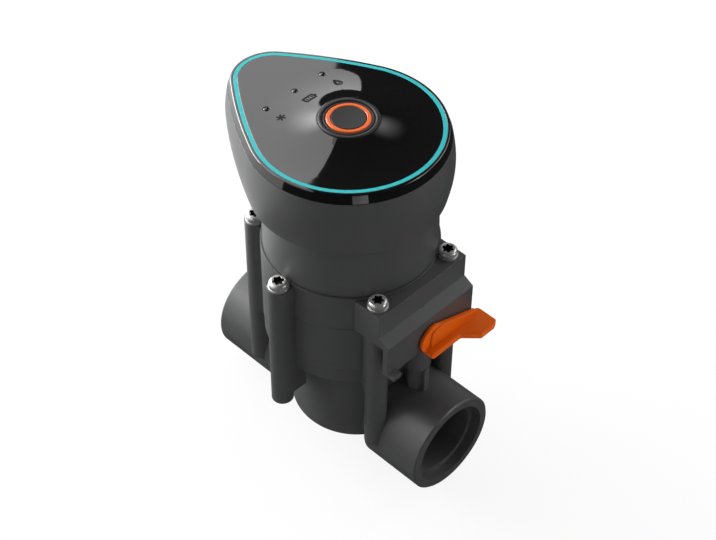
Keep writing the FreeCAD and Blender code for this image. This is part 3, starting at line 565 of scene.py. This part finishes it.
def printed_strokes(name, loops, width, shader):
    """Thin printed outlines that lie on the panel. Each loop is a list of plan points, closed or open."""
    bm = bmesh.new()
    for outline, closed in loops:
        points = divided(outline, closed)
        n = len(points)
        left = []
        right = []
        for i in range(n):
            a = Vector(points[(i - 1) % n] if closed or i > 0 else points[i])
            b = Vector(points[(i + 1) % n] if closed or i < n - 1 else points[i])
            here = Vector(points[i])
            along = (b - a).normalized()
            side = Vector((-along.y, along.x)) * width / 2
            for store, p in ((left, here + side), (right, here - side)):
                store.append(bm.verts.new(Vector((p.x, p.y, panel_height(p.x, p.y) + print_lift)) * MM))
        for i in range(n if closed else n - 1):
            j = (i + 1) % n
            bm.faces.new((left[i], left[j], right[j], right[i]))
    return new_piece(name, bm, shader, "valve", smooth=False)


def drop_outline(x, y, size):
    """Drop with its point towards -X."""
    points = []
    for i in range(drop_steps):
        t = 2 * math.pi * i / drop_steps
        half = size * math.sin(t) * (0.5 - 0.5 * math.cos(t)) ** drop_fullness
        points.append((x - size * drop_stretch * math.cos(t), y + half))
    return points


def box_outline(x, y, half_x, half_y):
    return [(x - half_x, y - half_y), (x + half_x, y - half_y),
            (x + half_x, y + half_y), (x - half_x, y + half_y)]


def cross_stroke(y, half):
    """Open stroke along X through a sign's middle line."""
    return [(sign_x - half, y), (sign_x + half, y)], False


water_drops = [(drop_outline(sign_x, window_pitch, size), True) for size in drop_sizes]
battery_outline = [(box_outline(sign_x, 0.0, battery_half_x, battery_half_y), True),
                   cross_stroke(battery_pole_y, battery_pole_half)]
battery_bars = [cross_stroke(y, bar_half) for y in bar_rows]
star_arms = []
for degrees in link_angles:
    arm = Vector((math.cos(math.radians(degrees)), math.sin(math.radians(degrees)))) * link_arm
    ends = [(sign_x - arm.x, -window_pitch - arm.y), (sign_x + arm.x, -window_pitch + arm.y)]
    star_arms.append((ends, False))
printed_strokes("sign_water", water_drops, drop_width, print_black)
printed_strokes("sign_battery", battery_outline, battery_width, print_black)
printed_strokes("sign_battery_bars", battery_bars, bar_width, print_black)
printed_strokes("sign_link", star_arms, link_width, print_black)

# The lamp windows, in millimetres, with heights from the panel's surface
bead_steps = 32
bead_radius = 1.28
bead_foot_radius = 0.95
bead_foot_z = -4.4
bead_stem_z = -4.3
bead_shoulder_z = -0.35
bead_rise = 0.62


def lens_bead(bm, x, y):
    """Low glossy dome in one of the panel's light windows, with a stem down into the panel."""
    profile = [(bead_foot_radius, bead_foot_z), (bead_radius, bead_stem_z), (bead_radius, bead_shoulder_z)]
    for degrees in range(12, 90, 13):
        a = math.radians(degrees)
        profile.append((bead_radius * math.cos(a), bead_shoulder_z + bead_rise * math.sin(a)))
    top = panel_height(x, y)
    rings = [circle(bm, Vector((x, y, top + rise)), radius, bead_steps) for radius, rise in profile]
    join(bm, rings)
    cap_ends(bm, rings)


bm = bmesh.new()
for row in (-window_pitch, 0.0, window_pitch):
    lens_bead(bm, window_x, row)
lenses = new_piece("indicator_lenses", bm, lens_plastic, "valve")
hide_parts("indicator_windows")


# Floor, light and camera, in metres

def direction(azimuth, elevation):
    """Unit vector; azimuth counts from +X towards +Y."""
    a = math.radians(azimuth)
    e = math.radians(elevation)
    return Vector((math.cos(a) * math.cos(e), math.sin(a) * math.cos(e), math.sin(e)))


def stage_object(name, bm, tree_maker, centre=(0, 0, 0), facing=None):
    mesh = bpy.data.meshes.new(name)
    bm.to_mesh(mesh)
    bm.free()
    obj = bpy.data.objects.new(name, mesh)
    obj.location = centre
    if facing is not None:
        obj.rotation_mode = "QUATERNION"
        obj.rotation_quaternion = (facing - Vector(centre)).to_track_quat("Z", "Y")
    bpy.context.scene.collection.objects.link(obj)
    material = bpy.data.materials.new(name)
    material.use_nodes = True
    tree_maker(material.node_tree)
    mesh.materials.append(material)
    return obj


def stage_plane(name, centre, half_x, half_y, tree_maker, facing=None):
    bm = bmesh.new()
    corners = [(-half_x, -half_y, 0), (half_x, -half_y, 0), (half_x, half_y, 0), (-half_x, half_y, 0)]
    bm.faces.new([bm.verts.new(c) for c in corners])
    return stage_object(name, bm, tree_maker, centre, facing)


def seen_directly(tree):
    """1 for camera, gloss and glass rays, 0 for the rays that carry light."""
    path = tree.nodes.new("ShaderNodeLightPath")
    found = path.outputs["Is Camera Ray"]
    for other in ("Is Glossy Ray", "Is Transmission Ray"):
        either = tree.nodes.new("ShaderNodeMath")
        either.operation = "MAXIMUM"
        tree.links.new(found, either.inputs[0])
        tree.links.new(path.outputs[other], either.inputs[1])
        found = either.outputs[0]
    return found


white_light = (1, 1, 1, 1)
floor_half = 3.0
floor_colour = (0.86, 0.86, 0.86, 1)
floor_roughness = 0.9
floor_glow_share = 0.88


def floor_tree(tree):
    """Pale matt floor that shows white to the camera and to gloss, and still keeps a soft shadow."""
    principled = tree.nodes["Principled BSDF"]
    principled.inputs["Base Color"].default_value = floor_colour
    principled.inputs["Roughness"].default_value = floor_roughness
    glow = tree.nodes.new("ShaderNodeEmission")
    glow.inputs["Color"].default_value = white_light
    share = tree.nodes.new("ShaderNodeMath")
    share.operation = "MULTIPLY"
    share.inputs[1].default_value = floor_glow_share
    mix = tree.nodes.new("ShaderNodeMixShader")
    tree.links.new(seen_directly(tree), share.inputs[0])
    tree.links.new(share.outputs[0], mix.inputs["Fac"])
    tree.links.new(principled.outputs["BSDF"], mix.inputs[1])
    tree.links.new(glow.outputs["Emission"], mix.inputs[2])
    tree.links.new(mix.outputs["Shader"], tree.nodes["Material Output"].inputs["Surface"])


stage_plane("floor", (0, 0, 0), floor_half, floor_half, floor_tree)


def flag_tree(tree):
    """Dull black that sends no light back."""
    principled = tree.nodes["Principled BSDF"]
    principled.inputs["Base Color"].default_value = (0.01, 0.01, 0.01, 1)
    principled.inputs["Roughness"].default_value = 1.0
    principled.inputs["Specular IOR Level"].default_value = 0.0


def for_gloss_only(obj):
    obj.visible_camera = False
    obj.visible_diffuse = False
    obj.visible_shadow = False
    obj.visible_transmission = False


def black_tent(name, radius, facing, offset):
    """Part of a black dome above the floor, on the far side of an upright plane."""
    bm = bmesh.new()
    bmesh.ops.create_uvsphere(bm, u_segments=64, v_segments=32, radius=radius)
    for point, normal in ((facing * offset, -facing), (Vector((0, 0, 0.001)), Vector((0, 0, -1)))):
        whole = bm.verts[:] + bm.edges[:] + bm.faces[:]
        bmesh.ops.bisect_plane(bm, geom=whole, plane_co=point, plane_no=normal, clear_outer=True)
    return stage_object(name, bm, flag_tree)


tent_radius = 2.6
tent_offset = -0.675
tent_facing = direction(25.9, -0.5)
wall_azimuth = 144
wall_distance = 2.4
wall_middle = Vector((0, 0, 0.36))
mat_height = 0.0005
card_azimuth = -33.8
card_distance = 0.785
card_height = 0.001
card_strength = 1.1

# Right of the tent's edge the panel mirrors black, and below the wall's top as well
for_gloss_only(black_tent("black_tent", tent_radius, tent_facing, tent_offset))
for_gloss_only(stage_plane("low_wall", direction(wall_azimuth, 0) * wall_distance + wall_middle, 0.55, 0.36,
                           flag_tree, facing=wall_middle))
for_gloss_only(stage_plane("black_mat", (1.14, 0, mat_height), 1.26, 2.4, flag_tree))
for_gloss_only(stage_plane("far_mat", (-0.165, -1.43, mat_height), 0.045, 0.97, flag_tree))


def card_tree(tree):
    glow = tree.nodes.new("ShaderNodeEmission")
    glow.inputs["Color"].default_value = white_light
    glow.inputs["Strength"].default_value = card_strength
    tree.links.new(glow.outputs["Emission"], tree.nodes["Material Output"].inputs["Surface"])


# A small card beside the floor's mat, which the front of the panel's rim mirrors
card = stage_plane("rim_card", direction(card_azimuth, 0) * card_distance + Vector((0, 0, card_height)),
                   0.085, 0.11, card_tree)
card.rotation_euler.z = math.radians(card_azimuth)
for_gloss_only(card)


def soften(data):
    """Lets a softbox fade from its middle to its edge."""
    data.use_nodes = True
    tree = data.node_tree
    emission = tree.nodes["Emission"]
    place = tree.nodes.new("ShaderNodeNewGeometry")
    away = tree.nodes.new("ShaderNodeVectorMath")
    away.operation = "DISTANCE"
    away.inputs[1].default_value = (0.5, 0.5, 0)
    fade = tree.nodes.new("ShaderNodeMapRange")
    fade.interpolation_type = "SMOOTHSTEP"
    fade.inputs["From Min"].default_value = 0.5
    fade.inputs["From Max"].default_value = 0.0
    tree.links.new(place.outputs["Parametric"], away.inputs[0])
    tree.links.new(away.outputs["Value"], fade.inputs["Value"])
    tree.links.new(fade.outputs["Result"], emission.inputs["Strength"])


aim = Vector((0, 0, 0.12))


def softbox(name, azimuth, elevation, distance, width, height, radiance, soft=True):
    """Area light that faces the part. Angles in degrees, sizes in metres."""
    data = bpy.data.lights.new(name, "AREA")
    data.shape = "RECTANGLE"
    data.size = width
    data.size_y = height
    data.energy = radiance * math.pi * width * height
    if soft:
        soften(data)
    obj = bpy.data.objects.new(name, data)
    obj.location = aim + direction(azimuth, elevation) * distance
    obj.rotation_mode = "QUATERNION"
    obj.rotation_quaternion = direction(azimuth, elevation).to_track_quat("Z", "Y")
    bpy.context.scene.collection.objects.link(obj)


softbox("back_softbox", 160, 42, 2.75, 3.4, 2.8, 0.98, soft=False)
softbox("left_softbox", 184, 26, 1.2, 1.5, 1.2, 6.8)
softbox("right_softbox", 75, 33, 1.3, 1.7, 1.3, 3.6)
softbox("front_softbox", 28, 12, 1.4, 0.9, 0.9, 8.0)
softbox("low_softbox", 195, 9, 1.3, 1.0, 0.7, 11.0, soft=False)
softbox("side_softbox", 225, 30, 1.3, 0.6, 0.6, 3.8, soft=False)

# The world lights the part softly and looks white to the camera and to gloss
world_strength = 0.3
world = bpy.data.worlds.new("studio")
bpy.context.scene.world = world
world.use_nodes = True
tree = world.node_tree
plain = tree.nodes["Background"]
plain.inputs["Color"].default_value = white_light
plain.inputs["Strength"].default_value = world_strength
white = tree.nodes.new("ShaderNodeBackground")
white.inputs["Color"].default_value = white_light
white.inputs["Strength"].default_value = 1.0
mix = tree.nodes.new("ShaderNodeMixShader")
tree.links.new(seen_directly(tree), mix.inputs["Fac"])
tree.links.new(plain.outputs["Background"], mix.inputs[1])
tree.links.new(white.outputs["Background"], mix.inputs[2])
tree.links.new(mix.outputs["Shader"], tree.nodes["World Output"].inputs["Surface"])

# The camera stands where the photo's camera stood
camera_lens = 83.71
camera_sensor = 36.0
camera_place = (0.33105, -0.33617, 0.55598)
camera_right = Vector((0.7128, 0.7012, 0.0059)).normalized()
camera_back = Vector((0.4918, -0.5059, 0.7087)).normalized()
camera_up = camera_back.cross(camera_right).normalized()
camera_axes = Matrix((camera_up.cross(camera_back), camera_up, camera_back)).transposed().to_4x4()
camera_data = bpy.data.cameras.new("camera")
camera_data.lens = camera_lens
camera_data.sensor_width = camera_sensor
camera_data.clip_start = 0.01
camera = bpy.data.objects.new("camera", camera_data)
camera.matrix_world = Matrix.Translation(camera_place) @ camera_axes
bpy.context.scene.collection.objects.link(camera)
bpy.context.scene.camera = camera
bpy.context.scene.view_settings.view_transform = "Standard"
